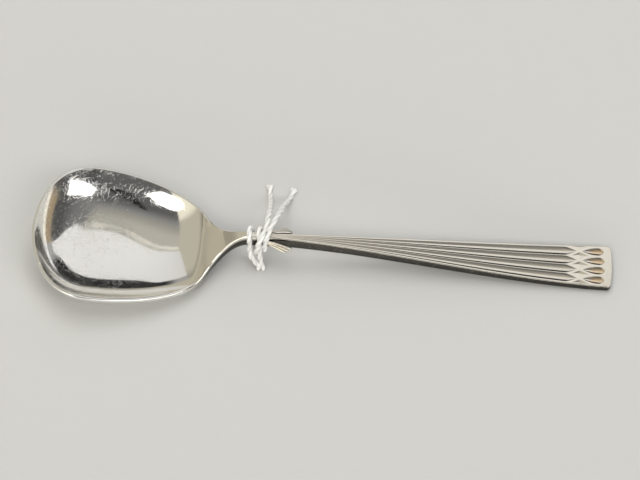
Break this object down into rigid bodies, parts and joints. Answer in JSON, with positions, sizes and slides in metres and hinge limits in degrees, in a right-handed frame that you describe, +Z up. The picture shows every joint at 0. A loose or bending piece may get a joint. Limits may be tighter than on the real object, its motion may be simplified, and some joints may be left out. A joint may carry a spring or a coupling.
{
  "type": "jam spoon",
  "caption": "Small serving spoon with a blunt rounded bowl, a slim neck tied with cotton string, leaf sprays on the stem and a fluted handle that widens to an arcaded end.",
  "frame": {"origin": "on the table, under the middle of the spoon's own box without the string", "axes": "+X from the bowl's tip to the end of the handle, +Y to the spoon's left side, +Z up out of the bowl"},
  "size_m": [0.145, 0.0402, 0.014],
  "materials": {
    "bowl_silver": "polished silver with fine use scratches",
    "handle_silver": "polished silver, toned in the recesses",
    "cotton_string": "two-ply twisted cotton, undyed white"
  },
  "bodies": {
    "root": {"bowl": "bowl_silver", "handle": "handle_silver", "leaf_left": "handle_silver", "leaf_right": "handle_silver", "tie_strand_left": "cotton_string", "tie_strand_right": "cotton_string"}
  },
  "joints": []
}
